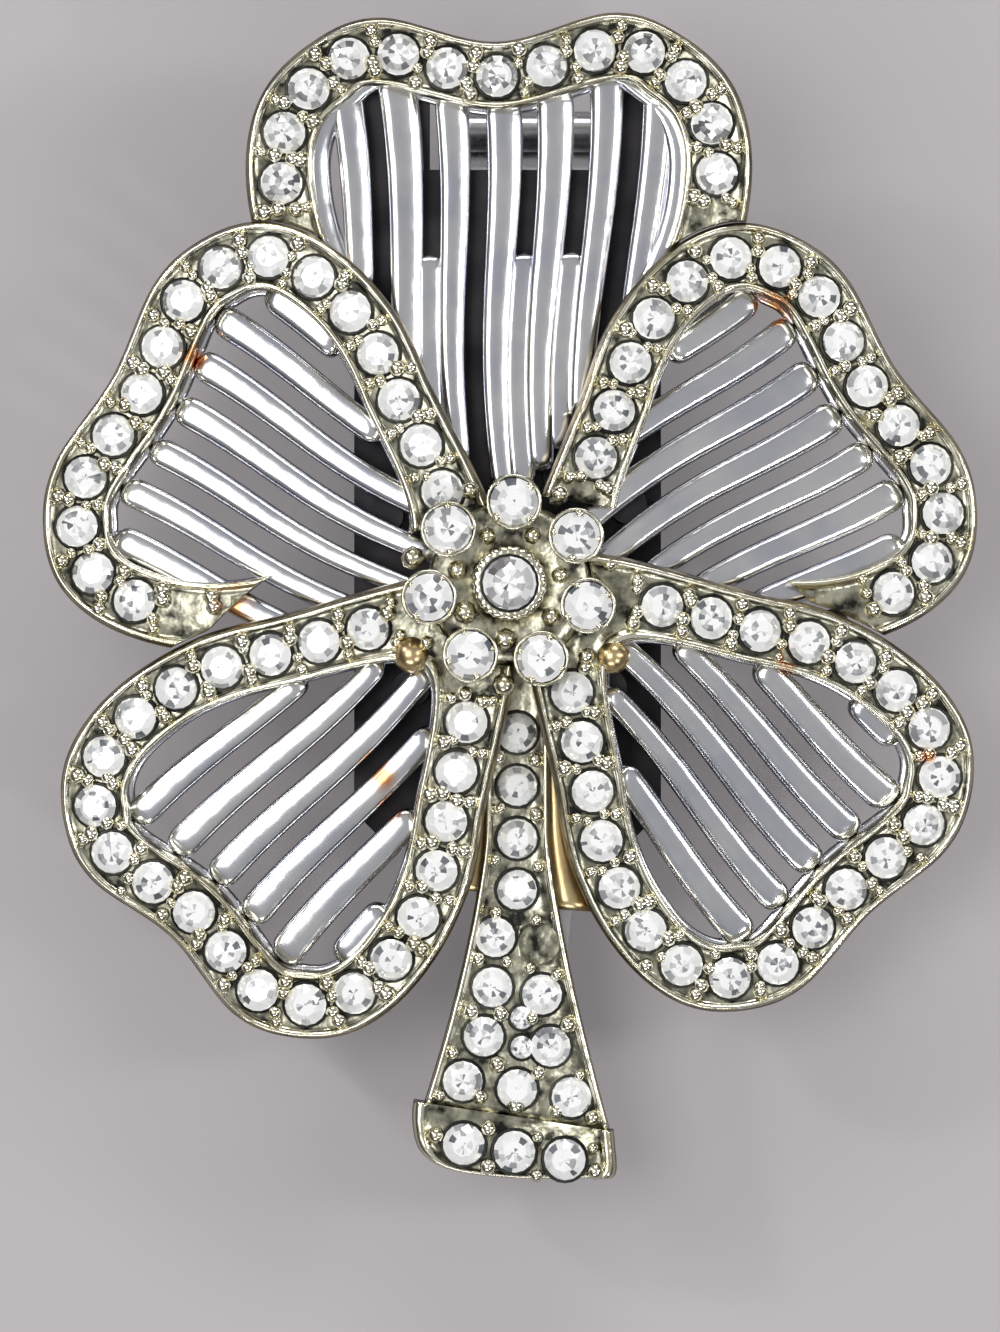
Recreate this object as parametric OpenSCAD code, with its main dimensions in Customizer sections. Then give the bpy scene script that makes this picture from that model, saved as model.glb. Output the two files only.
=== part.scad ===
// Clover hair clip: five pave petals, a flared stem and a stone cluster, carried by a sprung alligator clip.
// Millimetres. The clip lies on its back: the ornament faces up, its stem points to -Y.

/* [Petals] */
// Width of the stone-set band round each petal
band_w = 3.6; // [3.4:0.1:3.8]
// Thickness of the band's floor
band_t = 1.4; // [1.3:0.1:1.6]
// Width of the raised edge on each side of the band
lip_w = 0.4; // [0.3:0.05:0.5]
// Height of the raised edge above the band's floor
lip_h = 0.3; // [0.2:0.05:0.4]
// How far the side and lower petals slope back, in degrees
petal_tilt = 6; // [5:1:7]

/* [Stones] */
// Diameter of a rim stone
stone_d = 2.2; // [2:0.1:2.3]
// Distance between neighbouring rim stones
stone_pitch = 2.66; // [2.6:0.02:2.9]
// Diameter of a cluster stone
cluster_d = 2.5; // [2.3:0.1:2.6]
// Diameter of the centre stone
centre_d = 2.8; // [2.6:0.1:3]
// Number of stones in the ring of the cluster
cluster_count = 7; // [7]

/* [Grilles] */
// Distance between neighbouring flutes
flute_pitch = 2.5; // [2.4:0.05:2.6]
// Width of the open slot between two flutes
slot_w = 0.9; // [0.8:0.05:1]
// Height of a flute above its plate
flute_h = 0.7; // [0.6:0.1:0.8]

/* [Stem] */
// Half width of the stem under the cluster
stem_top_half = 1.7; // [1.6:0.05:1.8]
// Half width of the stem at its foot
stem_foot_half = 5.1; // [4.9:0.1:5.2]
// Distance from the centre of the cluster to the end of the foot
stem_len = 31.2; // [31:0.1:31.4]

/* [Clip] */
// Width of the clip at its hinge
clip_w = 10; // [9.6:0.1:10.4]
// Width of the clip at its tips
tip_w = 4.6; // [4.4:0.1:4.8]
// Thickness of the clip's sheet metal
sheet = 0.7; // [0.6:0.05:0.75]
// Angle that the thumb lever stands away from the base, in degrees
lever_angle = 20; // [19:1:21]
// Diameter of the hinge pin
pin_d = 1.5; // [1.4:0.1:1.6]
// Wire diameter of the torsion spring
wire_d = 0.6; // [0.5:0.05:0.65]

/* [Hidden] */

silver = "#c9c9cc";
pale_gold = "#cfc9ae";
crystal = "#eef1f5";
steel = "#b9bbc0";
blackened = "#2b2b2e";

round_fn = 32;
gap = 0.02;        // between a stone and its seat, and between soldered pieces
seam = 0.12;       // between a petal and the one that overlaps it
tall = 40;         // longer than the part is deep, for cutting

// [axis angle, length, half width, depth of the notch, height of the plane at the hub, tilt,
//  distance of the axis from the hub, sideways]
TOP = [91.2, 29.9, 13.3, 1.4, 1.9, 1.5, 0.1];
UPPER_LEFT = [151, 24, 11.6, 0.45, 3.6, petal_tilt, 0.6];
UPPER_RIGHT = [33.5, 23.7, 11.7, 0.5, 3.6, petal_tilt, -1.7];
LOWER_LEFT = [226.6, 26.4, 11.1, 0.7, 4.3, petal_tilt, -0.2];
LOWER_RIGHT = [-46.3, 26, 11, 0.4, 4.3, petal_tilt, 1.7];

stone_inset = 1.85;                       // from a petal's edge to the line of its stones
seat_depth = 1;
stone_sink = 0.05;                        // girdle above the band's floor
plate_t = 0.6;                            // a grille's plate behind the band
plate_lap = 0.6;                          // how far a grille reaches under its band
hub_r = 4.3;
cluster_r = 4.25;                         // circle through the cluster's ring of stones
cluster_turn = 87;                        // angle of the ring's first stone
hub_top = 5.75;
spline_steps = 5;

stem_x = 0.4;                             // the stem and the clip stand a little right of the hub
clip_x = 0.8;
stem_floor = 3;
stem_start = 13;                          // distance from the hub where the stem starts to widen
foot_start = 28.7;                        // where it is widest
foot_rise = 0.5;
slant = 0.15;                             // fall of the stem's rows towards the right

bridge_t = 0.45;
post_at = 7.5;                            // distance of the posts from the hub
rivet_r = 0.8;
rivet_y = [5.45, -6.2];

hinge = [11, -2.4];                       // y and z of the hinge's axis
jaw_drop = 1.9;                           // from the hinge's axis to the jaw's inner face
jaw_back = hinge.y - jaw_drop - sheet;    // outer face of the jaw
roll_y = 24.1;                             // where the lever's rolled end starts
roll_r = 1.1;
tips_y = -20.5;
ear_r = 1.45;
bite = -2.35;                             // where the two rows of teeth meet

// ---- outlines -------------------------------------------------------------------------------------

// Catmull-Rom curve through b and c, at t from 0 to 1.
function spline(a, b, c, d, t) =
    0.5 * (2 * b + (c - a) * t + (2 * a - 5 * b + 4 * c - d) * t * t + (3 * b - a - 3 * c + d) * t * t * t);

function closed_curve(p, steps) =
    let (n = len(p))
    [for (i = [0:n - 1]) for (j = [0:steps - 1])
        spline(p[(i + n - 1) % n], p[i], p[(i + 1) % n], p[(i + 2) % n], j / steps)];

function inward(a, b) = let (t = (b - a) / norm(b - a)) [-t.y, t.x];

// Half of a petal's outline, from its notch along one side towards the hub: x runs along the axis.
function half_points(petal) =
    let (l = petal[1], w = petal[2])
    [[l - petal[3], 0], [l, 0.46 * w], [0.955 * l, 0.74 * w], [0.86 * l, 0.94 * w], [0.72 * l, w],
     [0.55 * l, 0.92 * w], [0.38 * l, 0.7 * w], [0.22 * l, 0.37 * w]];

// Where the two straight flanks, moved in by d, meet on the axis.
function flank_end(h, d) =
    let (slope = atan2(h[5].y - h[7].y, h[5].x - h[7].x))
    h[7].x - h[7].y / tan(slope) + d / sin(slope);

// The same half, moved in by d and ended where the flanks meet.
function half_inset(petal, d) =
    let (h = half_points(petal), tip = flank_end(h, d))
    [[h[0].x - d, 0],
     for (i = [1:6]) let (p = h[i] + d * inward(h[i - 1], h[i + 1])) if (p.y > 1 && p.x > tip + 1) p,
     [tip, 0]];

function mirrored(half) =
    [each half, for (i = [len(half) - 2:-1:1]) [half[i].x, -half[i].y]];

function outline(petal, d) = closed_curve(mirrored(half_inset(petal, d)), spline_steps);

// A point of the petal's plane, seen from the front.
function in_plan(petal, p) =
    let (x = p.x * cos(petal[5]), y = p.y + petal[6], a = petal[0])
    [x * cos(a) - y * sin(a), x * sin(a) + y * cos(a)];

function plan_outline(petal, d) = [for (p = outline(petal, d)) in_plan(petal, p)];

function crossings(p, poly) =
    let (n = len(poly))
    [for (i = [0:n - 1]) let (a = poly[i], b = poly[(i + 1) % n])
        if ((a.y > p.y) != (b.y > p.y) && p.x < a.x + (p.y - a.y) * (b.x - a.x) / (b.y - a.y)) 1];

function is_inside(p, poly) = len(crossings(p, poly)) % 2 == 1;

// ---- stones ---------------------------------------------------------------------------------------

function run_lengths(p, i = 0, so_far = 0) =
    i >= len(p) ? [] :
        let (s = i == 0 ? 0 : so_far + norm(p[i] - p[i - 1])) [s, each run_lengths(p, i + 1, s)];

// Stone centres along one side of the band, a pitch apart, starting at the notch.
function side_stones(petal) =
    let (line = outline(petal, stone_inset),
         half = [for (i = [0:floor(len(line) / 2)]) line[i]],
         s = run_lengths(half),
         xs = [for (i = [0:len(s) - 1]) [s[i], half[i].x]],
         ys = [for (i = [0:len(s) - 1]) [s[i], half[i].y]])
    [for (k = [0:floor(s[len(s) - 1] / stone_pitch)])
        [lookup(k * stone_pitch, xs), lookup(k * stone_pitch, ys)]];

function all_stones(petal) =
    let (side = side_stones(petal))
    [each side, for (i = [1:len(side) - 1]) [side[i].x, -side[i].y]];

// A stone is set only where no petal in front, nor the hub, covers its seat.
function stone_places(petal, front) =
    let (room = stone_d / 2 + 0.15)
    [for (p = all_stones(petal)) let (q = in_plan(petal, p))
        if (norm(q) > hub_r + stone_d / 2 + 0.25
            && len([for (f = front) if (is_inside(q, plan_outline(f, -room))) 1]) == 0) p];

// A round brilliant of diameter d whose girdle is at z = 0.
module stone(d) {
    girdle = 0.05 * d;
    cylinder(h = girdle, d = d, $fn = round_fn);
    translate([0, 0, girdle]) cylinder(h = 0.18 * d, d1 = d, d2 = 0.6 * d, $fn = round_fn);
    translate([0, 0, -0.4 * d]) cylinder(h = 0.4 * d, d1 = 0.16 * d, d2 = d, $fn = round_fn);
}

module seat(d) {
    translate([0, 0, -seat_depth]) cylinder(h = seat_depth + 1, d = d + 2 * gap, $fn = round_fn);
}

// ---- petals ---------------------------------------------------------------------------------------

module on_petal(petal) {
    rotate([0, 0, petal[0]]) translate([0, petal[6], petal[4]]) rotate([0, petal[5], 0]) children();
}

module ring(petal, from, to, height) {
    linear_extrude(height) difference() {
        polygon(outline(petal, from));
        polygon(outline(petal, to));
    }
}

// What stands in front of a petal, as a tall prism to cut it away under the seam.
module covered_by(front) {
    for (f = front) translate([0, 0, -tall / 2]) linear_extrude(tall) polygon(plan_outline(f, -seam));
}

module hub_space(root = hub_r) {
    translate([0, 0, -tall / 2]) cylinder(h = tall, r = root + gap, $fn = round_fn);
}

// A frame keeps clear of the hub by root, where the petals in front cover all of it.
module petal_frame(petal, front, root = hub_r) {
    color(pale_gold) difference() {
        on_petal(petal) difference() {
            union() {
                ring(petal, 0, band_w, band_t);
                ring(petal, 0, lip_w, band_t + lip_h);
                ring(petal, band_w - lip_w, band_w, band_t + lip_h);
            }
            for (p = stone_places(petal, front)) translate([p.x, p.y, band_t]) seat(stone_d);
        }
        covered_by(front);
        hub_space(root);
    }
}

module petal_stones(petal, front) {
    color(crystal) on_petal(petal) for (p = stone_places(petal, front))
        translate([p.x, p.y, band_t + stone_sink]) stone(stone_d);
}

// The flutes fan out slightly from a point behind the hub and wave a little on their way.
fan = 60;
flute_wave = 0.35;

// Distance from the axis, at x along it, of the line numbered k.
function flute_line(petal, k, x) =
    k * flute_pitch * (fan + x) / (fan + 18) + flute_wave * sin(360 * (x - hub_r) / (petal[1] - hub_r));

// A strip along line k, half its width to each side.
module strip(petal, k, half) {
    xs = [for (i = [0:12]) 2 + i * (petal[1] - 2) / 12];
    polygon([for (x = xs) [x, flute_line(petal, k, x) + half],
             for (i = [12:-1:0]) [xs[i], flute_line(petal, k, xs[i]) - half]]);
}

module petal_grille(petal, front) {
    count = floor(petal[2] / flute_pitch);
    flute_half = (flute_pitch - slot_w) / 2;
    color(silver) difference() {
        on_petal(petal) {
            translate([0, 0, -plate_t]) linear_extrude(plate_t - gap) difference() {
                polygon(outline(petal, band_w - plate_lap));
                intersection() {
                    polygon(outline(petal, band_w + 0.35));
                    for (k = [-count - 1:count]) strip(petal, k + 0.5, slot_w / 2);
                }
            }
            translate([0, 0, -plate_t / 2]) linear_extrude(plate_t / 2 + flute_h) intersection() {
                polygon(outline(petal, band_w + 0.1));
                for (k = [-count:count]) strip(petal, k, flute_half - 0.15);
            }
        }
        covered_by(front);
        hub_space();
    }
}

// ---- stem -----------------------------------------------------------------------------------------

function stem_half(d) =
    let (t = max(0, (d - stem_start) / (foot_start - stem_start)))
    stem_top_half + (stem_foot_half - stem_top_half) * pow(t, 1.4);

// Distance from the hub to the slanting edge between the stem's channel and its foot.
function foot_edge(x) = 27.95 + slant * x;

module stem_outline(inset) {
    ds = [for (d = [hub_r - 1:1.5:foot_start]) d, foot_start];
    polygon([for (d = ds) [stem_half(d) - inset, -d],
             for (i = [len(ds) - 1:-1:0]) [inset - stem_half(ds[i]), -ds[i]]]);
}

// What lies above (towards the hub) or below the slanting edge moved down by shift.
module above_foot(shift) {
    polygon([[-9, 0], [9, 0], for (x = [9, 4, -0.5, -5, -9]) [x, -foot_edge(x) - shift]]);
}

// [distance from the hub, number of stones, distance between them]
stem_rows = [[7.8, 1, 0], [10.6, 1, 0], [13.35, 1, 0], [16.05, 1, 0], [18.7, 2, 2.3], [21.35, 2, 2.6],
             [24, 2, 3.5], [26.5, 3, 2.85]];
empty_seat = [4, 1];                      // row and place of the one seat that has lost its stone
stem_stone_d = 2.1;
small_stone_d = 1.2;
small_stones = [[0.25, -22.75], [0.25, -24.3]];

function row_place(row, k) = let (x = (k - (row[1] - 1) / 2) * row[2]) [x, -row[0] - slant * x];

module at_stem() {
    translate([stem_x, 0, 0]) children();
}

module stem_channel() {
    color(pale_gold) difference() {
        at_stem() difference() {
            union() {
                translate([0, 0, stem_floor - 1.4]) linear_extrude(1.4) intersection() {
                    stem_outline(0);
                    above_foot(0);
                }
                translate([0, 0, bridge_t + gap]) linear_extrude(stem_floor + lip_h - bridge_t - gap)
                    intersection() {
                        difference() {
                            stem_outline(0);
                            stem_outline(lip_w);
                        }
                        above_foot(0);
                    }
            }
            for (row = stem_rows) for (k = [0:row[1] - 1]) let (p = row_place(row, k))
                translate([p.x, p.y, stem_floor]) seat(stem_stone_d);
            for (p = small_stones) translate([p.x, p.y, stem_floor]) seat(small_stone_d);
        }
        hub_space();
    }
}

module stem_stones() {
    color(crystal) at_stem() translate([0, 0, stem_floor + stone_sink]) {
        for (i = [0:len(stem_rows) - 1]) for (k = [0:stem_rows[i][1] - 1]) if ([i, k] != empty_seat)
            translate(row_place(stem_rows[i], k)) stone(stem_stone_d);
        for (p = small_stones) translate(p) stone(small_stone_d);
    }
}

foot_places = [[-2.8, -29.35], [-0.15, -29.75], [2.5, -30.15]];
foot_edge_points = [[-5.3, -26.8], [-5.5, -28.4], [-5, -29.9], [-3.4, -30.8], [0, -stem_len],
                    [3.6, -stem_len], [5.1, -stem_len + 0.1], [5.15, -29.5], [4.9, -28]];

module foot_outline() {
    polygon(closed_curve(concat(foot_edge_points, [[4, -27], [-4, -26.5]]), spline_steps));
}

module stem_foot() {
    color(pale_gold) at_stem() difference() {
        translate([0, 0, bridge_t + gap]) linear_extrude(stem_floor + foot_rise - bridge_t - gap)
            difference() {
                foot_outline();
                above_foot(gap);
            }
        for (p = foot_places) translate([p.x, p.y, stem_floor + foot_rise]) seat(stone_d);
    }
}

module foot_stones() {
    color(crystal) at_stem() for (p = foot_places)
        translate([p.x, p.y, stem_floor + foot_rise + stone_sink]) stone(stone_d);
}

// ---- hub and cluster ------------------------------------------------------------------------------

cup_wall = 0.2;
cup_h = 1.15;

module cup(d, h) {
    difference() {
        cylinder(h = h, d1 = d + 0.2, d2 = d + 2 * cup_wall, $fn = round_fn);
        translate([0, 0, -1]) cylinder(h = h + 2, d = d + 2 * gap, $fn = round_fn);
    }
}

module at_cluster() {
    for (k = [0:cluster_count - 1]) rotate([0, 0, cluster_turn + k * 360 / cluster_count])
        translate([cluster_r, 0, hub_top]) children();
}

module hub_boss() {
    color(silver) translate([0, 0, bridge_t + gap])
        cylinder(h = hub_top - bridge_t - 2 * gap, r = hub_r, $fn = round_fn);
}

module cluster_cups() {
    color(pale_gold) at_cluster() cup(cluster_d, cup_h);
}

module cluster_stones() {
    color(crystal) at_cluster() translate([0, 0, cup_h - 0.1]) stone(cluster_d);
}

module centre_bezel() {
    color(pale_gold) translate([0, 0, hub_top]) difference() {
        union() {
            cylinder(h = 1.5, d = centre_d + 0.9, $fn = round_fn);
            translate([0, 0, 1]) cylinder(h = 0.3, d = centre_d + 1.1, $fn = round_fn);
        }
        translate([0, 0, -1]) cylinder(h = 4, d = centre_d + 2 * gap, $fn = round_fn);
    }
}

module centre_stone() {
    color(crystal) translate([0, 0, hub_top + 1.35]) stone(centre_d);
}

// ---- back bridge ----------------------------------------------------------------------------------

module post(petal) {
    h = petal[4] - (post_at + 1) * sin(petal[5]) - plate_t / cos(petal[5]) - gap;
    rotate([0, 0, petal[0]]) {
        translate([0, -1, 0]) cube([post_at, 2, bridge_t]);
        translate([post_at, 0, 0]) cylinder(h = h, r = 1, $fn = round_fn);
    }
}

// A wide plate behind the petals, open at its upper end for the lever's roll.
module backing() {
    polygon([[-8.2, -12], [-6.7, -13.5], [6.5, -13.5], [8, -12], [8, 24.9], [6.5, 26.4], [clip_x + 5, 26.4],
             [clip_x + 5, 21.9], [clip_x - 5, 21.9], [clip_x - 5, 26.4], [-6.7, 26.4], [-8.2, 24.9]]);
}

module back_bridge() {
    color(blackened) difference() {
        union() {
            linear_extrude(bridge_t) backing();
            translate([clip_x - 1.6, -22, 0]) cube([3.2, 20, bridge_t]);
            for (petal = [TOP, UPPER_LEFT, UPPER_RIGHT, LOWER_LEFT, LOWER_RIGHT]) post(petal);
        }
        at_rivets() shank(-1, bridge_t);
    }
}

module at_rivets() {
    for (y = rivet_y) translate([clip_x, y, 0]) children();
}

// A rivet's body from one height to another, spread to a flush head at its upper end.
module shank(from, to) {
    translate([0, 0, from]) rotate_extrude($fn = round_fn)
        polygon([[0, 0], [rivet_r, 0], [rivet_r, to - from - 0.2], [rivet_r + 0.2, to - from],
                 [0, to - from]]);
}

module rivets() {
    color(steel) at_rivets() {
        shank(-sheet, bridge_t);
        translate([0, 0, -sheet - 0.3]) cylinder(h = 0.3, r1 = rivet_r, r2 = rivet_r + 0.3, $fn = round_fn);
    }
}

// ---- clip -----------------------------------------------------------------------------------------

module at_hinge() {
    translate([clip_x, hinge.x, hinge.y]) children();
}

// A plan that tapers from a half width at the hinge to another at the tips, moved in by d.
module jaw_plan(hinge_half, tip_half, back, d) {
    side = [[hinge_half - d, back], [hinge_half - d, hinge.x - ear_r], [tip_half - d, tips_y + 1.2],
            [tip_half - d - 0.8, tips_y + d]];
    polygon([each side, for (i = [3:-1:0]) [-side[i].x, side[i].y]]);
}

// A side profile of [y, z] points, wide enough to cut any piece of the clip.
module across(points) {
    translate([-9, 0, 0]) rotate([90, 0, 90]) linear_extrude(18) polygon(points);
}

tooth_pitch = 1.5;
tooth_depth = 0.7;
tooth_count = 8;
bite_gap = 0.1;

// The zigzag that parts the two rows of teeth, from the tips backwards, raised by dz.
function bite_line(dz) = [for (i = [0:2 * tooth_count])
    [tips_y + i * tooth_pitch / 2, bite + dz + (i % 2 == 0 ? -tooth_depth / 2 : tooth_depth / 2)]];

module folded_base() {
    intersection() {
        difference() {
            translate([0, 0, -6]) linear_extrude(6) jaw_plan(clip_w / 2, tip_w / 2, 21.5, 0);
            translate([0, 0, -7]) linear_extrude(7 - sheet) jaw_plan(clip_w / 2, tip_w / 2, 30, sheet);
        }
        across([[tips_y - 1, 0], [tips_y - 1, bite - tooth_depth / 2], each bite_line(bite_gap / 2),
                [hinge.x - 12, -1.9], [hinge.x - 2.6, -1.9], [hinge.x - 1.6, hinge.y - 0.6],
                [hinge.x - 0.9, hinge.y - ear_r], [hinge.x + 0.9, hinge.y - ear_r],
                [hinge.x + 1.6, hinge.y - 0.6], [hinge.x + 2.4, -sheet], [24, -sheet], [24, 0]]);
    }
}

module clip_base() {
    color(silver) difference() {
        translate([clip_x, 0, 0]) folded_base();
        at_hinge() rotate([0, 90, 0]) cylinder(h = 20, r = pin_d / 2, center = true, $fn = round_fn);
        at_rivets() translate([0, 0, -3]) cylinder(h = 4, r = rivet_r, $fn = round_fn);
    }
}

// The hinge end of the jaw fits between the ears of the base, and its floor stops where the lever bends off.
jaw_half = clip_w / 2 - sheet - 0.3;

module folded_jaw() {
    intersection() {
        difference() {
            translate([0, 0, jaw_back]) linear_extrude(6) jaw_plan(jaw_half, tip_w / 2, hinge.x + ear_r, 0);
            translate([0, 0, jaw_back + sheet]) linear_extrude(7) jaw_plan(jaw_half, tip_w / 2, 30, sheet);
            translate([sheet - jaw_half, hinge.x, jaw_back - 1]) cube([2 * (jaw_half - sheet), 5, 5]);
        }
        across([[tips_y - 1, jaw_back], [tips_y - 1, bite - tooth_depth / 2], each bite_line(-bite_gap / 2),
                [hinge.x - 12, -3.1], [hinge.x - 2.4, -3.1], [hinge.x - 1.35, hinge.y - 0.2],
                [hinge.x - 0.7, hinge.y + 1.2], [hinge.x + 0.7, hinge.y + 1.2],
                [hinge.x + 1.35, hinge.y - 0.2], [hinge.x + 1.4, jaw_back + sheet],
                [hinge.x + 1.4, jaw_back]]);
    }
}

lever_half = jaw_half + 0.4;
lever_reach = (roll_y - hinge.x) / cos(lever_angle);

module lever() {
    translate([0, hinge.x, jaw_back]) rotate([-lever_angle, 0, 0]) {
        root = jaw_half - 0.05;
        linear_extrude(sheet) polygon([[-root, -0.3], [-root, 4], [-lever_half, lever_reach],
                                      [lever_half, lever_reach], [root, 4], [root, -0.3]]);
        translate([0, lever_reach, roll_r + 0.08]) rotate([0, 90, 0])
            cylinder(h = 2 * lever_half, r = roll_r, center = true, $fn = round_fn);
    }
}

module clip_jaw() {
    color(silver) difference() {
        translate([clip_x, 0, 0]) {
            folded_jaw();
            lever();
        }
        at_hinge() rotate([0, 90, 0]) cylinder(h = 20, r = pin_d / 2 + 0.05, center = true, $fn = round_fn);
    }
}

module hinge_pin() {
    head = 0.4;
    color(steel) at_hinge() rotate([0, 90, 0]) {
        cylinder(h = clip_w, r = pin_d / 2, center = true, $fn = round_fn);
        for (side = [-1, 1]) translate([0, 0, side * (clip_w + head) / 2])
            cylinder(h = head, r = pin_d / 2 + 0.35, center = true, $fn = round_fn);
    }
}

coil_r = pin_d / 2 + 0.15 + wire_d / 2;   // middle of the wire
coil_pitch = wire_d;

// Close-wound turns as one sleeve, with a groove between each turn and the next.
module turns(count, from) {
    inner = coil_r - wire_d / 2;
    crown = [for (i = [0:count - 1]) for (p = [[0.35, -0.5], [0.5, -0.2], [0.5, 0.2], [0.35, 0.5]])
        [coil_r + p.x * wire_d, (i + 0.5 + p.y * 0.98) * coil_pitch]];
    translate([from, 0, 0]) rotate([0, 90, 0]) rotate_extrude($fn = round_fn)
        polygon([[inner, 0], each crown, [inner, count * coil_pitch]]);
}

// A straight end of the wire that leaves the coil and slopes until it meets the sheet it presses on.
module spring_end(slope) {
    rotate([slope - 90, 0, 0]) cylinder(h = 7, d = 0.9 * wire_d, $fn = round_fn);
}

// The coil and the end that presses on the base, towards the thumb end.
module spring_coil() {
    color(steel) at_hinge() {
        turns(6, -2.45);
        translate([-2.45 + coil_pitch / 2, 0, coil_r]) spring_end(1.7);
    }
}

// The end that presses on the lever and turns with it.
module spring_free_end() {
    color(steel) at_hinge() {
        turns(2, 1.25);
        translate([1.25 + 1.5 * coil_pitch, 0, 0]) rotate([-lever_angle, 0, 0]) translate([0, 0, -coil_r])
            spring_end(-2);
    }
}

// ---- the clip lying on its back, on the end of its lever and the tips of its jaw ------------------

lever_edge = [roll_y, jaw_back - lever_reach * sin(lever_angle)];
tip_edge = [tips_y, jaw_back];
lean = atan2(tip_edge.y - lever_edge.y, lever_edge.x - tip_edge.x);
lift = -(tip_edge.x * sin(lean) + tip_edge.y * cos(lean));
middle = [0, -0.86];

module at_rest() {
    translate([-middle.x, -middle.y, lift]) rotate([lean, 0, 0]) children();
}

top_front = [UPPER_LEFT, UPPER_RIGHT];     // the petals in front of the top petal
at_rest() petal_frame(TOP, top_front, 9.5);  // top_petal_frame
at_rest() petal_grille(TOP, top_front);  // top_petal_grille
at_rest() petal_stones(TOP, top_front);  // top_petal_stones
at_rest() petal_frame(UPPER_LEFT, [LOWER_LEFT]);  // upper_left_petal_frame
at_rest() petal_grille(UPPER_LEFT, [LOWER_LEFT]);  // upper_left_petal_grille
at_rest() petal_stones(UPPER_LEFT, [LOWER_LEFT]);  // upper_left_petal_stones
at_rest() petal_frame(UPPER_RIGHT, [LOWER_RIGHT]);  // upper_right_petal_frame
at_rest() petal_grille(UPPER_RIGHT, [LOWER_RIGHT]);  // upper_right_petal_grille
at_rest() petal_stones(UPPER_RIGHT, [LOWER_RIGHT]);  // upper_right_petal_stones
at_rest() petal_frame(LOWER_LEFT, []);  // lower_left_petal_frame
at_rest() petal_grille(LOWER_LEFT, []);  // lower_left_petal_grille
at_rest() petal_stones(LOWER_LEFT, []);  // lower_left_petal_stones
at_rest() petal_frame(LOWER_RIGHT, []);  // lower_right_petal_frame
at_rest() petal_grille(LOWER_RIGHT, []);  // lower_right_petal_grille
at_rest() petal_stones(LOWER_RIGHT, []);  // lower_right_petal_stones
at_rest() stem_channel();
at_rest() stem_stones();
at_rest() stem_foot();
at_rest() foot_stones();
at_rest() hub_boss();
at_rest() cluster_cups();
at_rest() cluster_stones();
at_rest() centre_bezel();
at_rest() centre_stone();
at_rest() back_bridge();
at_rest() rivets();
at_rest() clip_base();
at_rest() clip_jaw();
at_rest() hinge_pin();
at_rest() spring_coil();
at_rest() spring_free_end();
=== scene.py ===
"""A clover-shaped rhinestone hair clip: cast petals round fluted grilles, a flared stem and a stone cluster,
all soldered to a bridge that a sprung alligator clip is riveted to. It lies on its back."""
import math
from collections import namedtuple
from functools import partial

import bpy
import bmesh
import numpy as np
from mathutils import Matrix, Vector


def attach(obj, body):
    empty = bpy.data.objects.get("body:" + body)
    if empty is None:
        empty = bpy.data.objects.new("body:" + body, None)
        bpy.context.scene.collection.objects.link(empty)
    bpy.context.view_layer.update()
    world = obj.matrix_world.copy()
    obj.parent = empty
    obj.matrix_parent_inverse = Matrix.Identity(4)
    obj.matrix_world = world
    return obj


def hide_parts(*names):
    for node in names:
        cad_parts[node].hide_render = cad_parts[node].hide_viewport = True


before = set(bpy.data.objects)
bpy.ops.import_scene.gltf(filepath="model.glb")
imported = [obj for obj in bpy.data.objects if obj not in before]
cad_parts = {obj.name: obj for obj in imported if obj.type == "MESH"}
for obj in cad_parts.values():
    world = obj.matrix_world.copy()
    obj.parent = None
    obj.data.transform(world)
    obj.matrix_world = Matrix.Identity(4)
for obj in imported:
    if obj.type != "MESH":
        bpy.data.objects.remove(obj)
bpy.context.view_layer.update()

# ---- Petal frames ------------------------------------------------------------------------------------
# Each petal is a heart-shaped cast band, plated a pale gold, with an outer wall painted darker as painted
# shade, a raised lip on both sides and a shallow darkened channel for the stones. Those behind are trimmed
# where the petals in front cross them.

# Pieces are drawn face up round the hub in millimetres, and then turned by LEAN about X and lifted, because
# the clip rests on two edges, the end of its lever and the tips of its jaw.
MM = 0.001
HINGE_Y, HINGE_Z = 11.0, -2.4
SHEET = 0.7
JAW_UNDER_HINGE = 1.9
JAW_BACK = HINGE_Z - JAW_UNDER_HINGE - SHEET
ROLL_Y, TIPS_Y = 24.1, -20.5
LEVER_ANGLE = math.radians(20)
LEVER_REACH = (ROLL_Y - HINGE_Y) / math.cos(LEVER_ANGLE)
LEAN = math.atan2(LEVER_REACH * math.sin(LEVER_ANGLE), ROLL_Y - TIPS_Y)
LIFT = -(TIPS_Y * math.sin(LEAN) + JAW_BACK * math.cos(LEAN))
# the middle of the resting clip's length
MIDDLE_Y = -0.86


def at_rest(points):
    """Ornament coordinates in mm to the resting clip's in metres: a turn by LEAN about X, then a lift."""
    x, y, z = np.asarray(points, float).T
    turned_y = y * math.cos(LEAN) - z * math.sin(LEAN) - MIDDLE_Y
    turned_z = y * math.sin(LEAN) + z * math.cos(LEAN) + LIFT
    return np.stack([x, turned_y, turned_z], 1) * MM


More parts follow.
